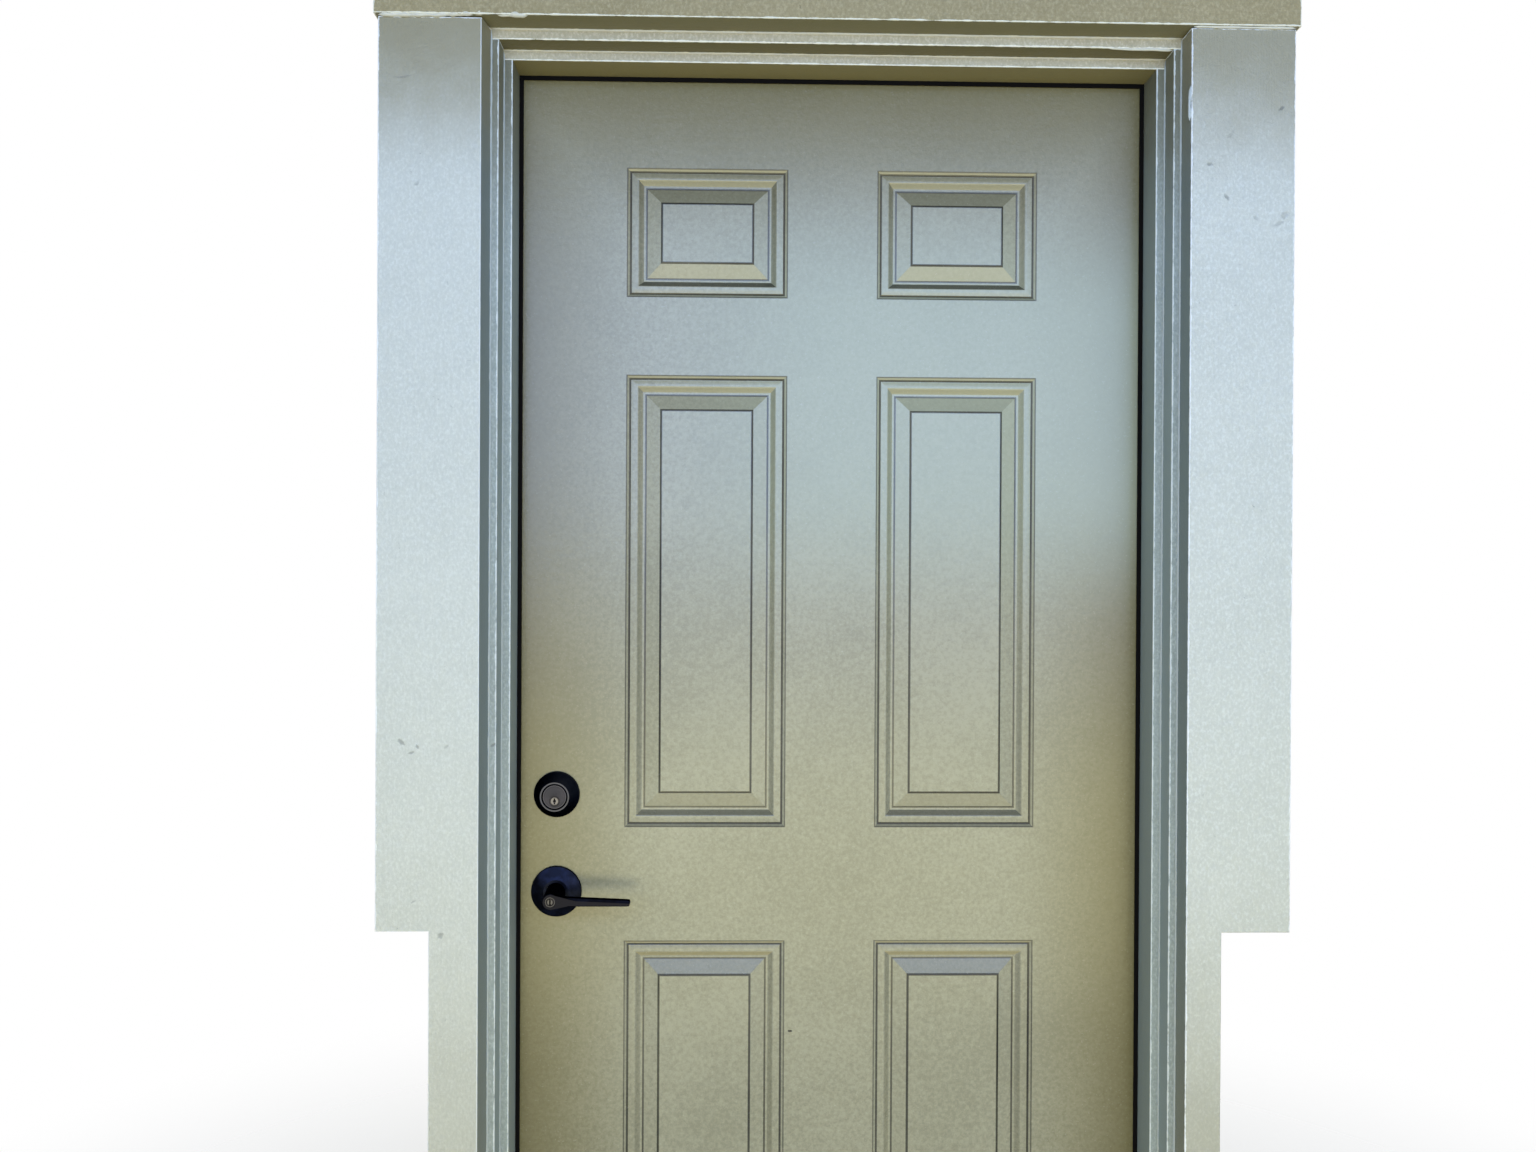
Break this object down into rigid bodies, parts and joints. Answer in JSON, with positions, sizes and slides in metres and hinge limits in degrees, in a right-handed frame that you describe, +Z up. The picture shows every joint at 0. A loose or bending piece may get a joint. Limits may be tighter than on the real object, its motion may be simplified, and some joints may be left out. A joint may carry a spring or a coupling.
{
  "type": "raised-panel entry door",
  "caption": "Inswing steel entry door with raised panels, hung on butt hinges in a rebated timber frame with stepped trim, flat casing, metal sill, deadbolt and lever latch.",
  "frame": {"origin": "middle of the doorway, at the front edges of the jambs and at the underside of the sill", "axes": "+X along the doorway to the right seen from the street, +Y into the building, +Z up"},
  "size_m": [1.224, 0.2476, 2.208],
  "materials": {
    "leaf_paint": "satin sage paint over pressed steel",
    "trim_paint": "brushed grey-green paint over timber",
    "jamb_paint": "brushed grey-green paint over timber",
    "bare_timber": "sawn softwood",
    "core_foam": "rigid foam",
    "seal_foam": "black compression seal",
    "sweep_vinyl": "black flexible vinyl",
    "sill_composite": "dark moulded composite",
    "sill_aluminium": "mill finish extrusion",
    "hinge_steel": "satin nickel plate",
    "lock_bronze": "dark bronze, near black",
    "lock_steel": "zinc-plated steel",
    "plug_nickel": "worn dull nickel"
  },
  "bodies": {
    "frame": {"bottom_hinge_frame_leaf": "hinge_steel", "bottom_hinge_pin": "hinge_steel", "deadbolt_strike": "lock_steel", "frame_hinge_screws": "hinge_steel", "head_casing": "trim_paint", "head_jamb": "jamb_paint", "head_stepped_trim": "jamb_paint", "head_weatherstrip": "seal_foam", "hinge_casing": "trim_paint", "hinge_jamb": "jamb_paint", "hinge_stepped_trim": "jamb_paint", "hinge_weatherstrip": "seal_foam", "latch_strike": "lock_steel", "lock_casing": "trim_paint", "lock_jamb": "jamb_paint", "lock_stepped_trim": "jamb_paint", "lock_weatherstrip": "seal_foam", "middle_hinge_frame_leaf": "hinge_steel", "middle_hinge_pin": "hinge_steel", "sill_cap": "sill_composite", "sill_cap_screws": "lock_steel", "sill_substrate": "sill_composite", "sill_tread": "sill_aluminium", "strike_screws": "lock_steel", "top_hinge_frame_leaf": "hinge_steel", "top_hinge_pin": "hinge_steel"},
    "leaf": {"bottom_hinge_door_leaf": "hinge_steel", "bottom_rail": "bare_timber", "deadbolt_collar": "lock_bronze", "deadbolt_cylinder": "plug_nickel", "deadbolt_housing": "lock_steel", "deadbolt_inner_rose": "lock_bronze", "deadbolt_screws": "lock_bronze", "door_hinge_screws": "hinge_steel", "door_sweep": "sweep_vinyl", "faceplate_screws": "lock_steel", "foam_core": "core_foam", "hinge_stile": "bare_timber", "inner_rose": "lock_bronze", "inner_skin": "leaf_paint", "latch_housing": "lock_steel", "lock_block": "bare_timber", "lock_chassis": "lock_steel", "lock_stile": "bare_timber", "middle_hinge_door_leaf": "hinge_steel", "outer_rose": "lock_bronze", "outer_skin": "leaf_paint", "rose_screws": "lock_bronze", "top_hinge_door_leaf": "hinge_steel", "top_rail": "bare_timber"},
    "outer_lever": {"outer_lever": "lock_bronze"},
    "lever_key_plug": {"lever_key_plug": "plug_nickel"},
    "inner_lever": {"inner_lever": "lock_bronze"},
    "lever_turn_button": {"lever_turn_button": "lock_bronze"},
    "latch_bolt": {"latch_bolt": "lock_steel"},
    "deadbolt_bolt": {"deadbolt_bolt": "lock_steel"},
    "thumbturn": {"thumbturn": "lock_bronze"},
    "deadbolt_key_plug": {"deadbolt_key_plug": "plug_nickel"}
  },
  "joints": [
    {"name": "leaf_swing", "type": "hinge", "parent": "frame", "child": "leaf", "pos_m": [0.4556, 0.1075, 1], "axis": [0, 0, -1], "range_deg": [0, 110]},
    {"name": "outer_lever_turn", "type": "hinge", "parent": "leaf", "child": "outer_lever", "pos_m": [-0.388, 0.07875, 0.8855], "axis": [0, 1, 0], "range_deg": [0, 45], "stiffness_Nm_per_rad": 0.5, "springref_deg": -34.38},
    {"name": "inner_lever_turn", "type": "hinge", "parent": "leaf", "child": "inner_lever", "pos_m": [-0.388, 0.07875, 0.8855], "axis": [0, 1, 0], "range_deg": [0, 45]},
    {"name": "latch_slide", "type": "slide", "parent": "leaf", "child": "latch_bolt", "axis": [1, 0, 0], "range_m": [0, 0.0127]},
    {"name": "lever_key_turn", "type": "hinge", "parent": "outer_lever", "child": "lever_key_plug", "pos_m": [-0.388, 0.07875, 0.8855], "axis": [0, 1, 0], "range_deg": [0, 90]},
    {"name": "turn_button_turn", "type": "hinge", "parent": "inner_lever", "child": "lever_turn_button", "pos_m": [-0.388, 0.07875, 0.8855], "axis": [0, 1, 0], "range_deg": [0, 90]},
    {"name": "thumbturn_turn", "type": "hinge", "parent": "leaf", "child": "thumbturn", "pos_m": [-0.388, 0.07875, 1.0232], "axis": [0, 1, 0], "range_deg": [0, 90]},
    {"name": "deadbolt_slide", "type": "slide", "parent": "leaf", "child": "deadbolt_bolt", "axis": [-1, 0, 0], "range_m": [0, 0.0254]},
    {"name": "deadbolt_key_turn", "type": "hinge", "parent": "leaf", "child": "deadbolt_key_plug", "pos_m": [-0.388, 0.07875, 1.0172], "axis": [0, 1, 0], "range_deg": [0, 90]}
  ],
  "couplings": [
    {"joint": "inner_lever_turn", "follows": "outer_lever_turn", "ratio": 1},
    {"joint": "latch_slide", "follows": "outer_lever_turn", "m_per_rad": 0.01617},
    {"joint": "deadbolt_slide", "follows": "thumbturn_turn", "m_per_rad": 0.01617}
  ]
}
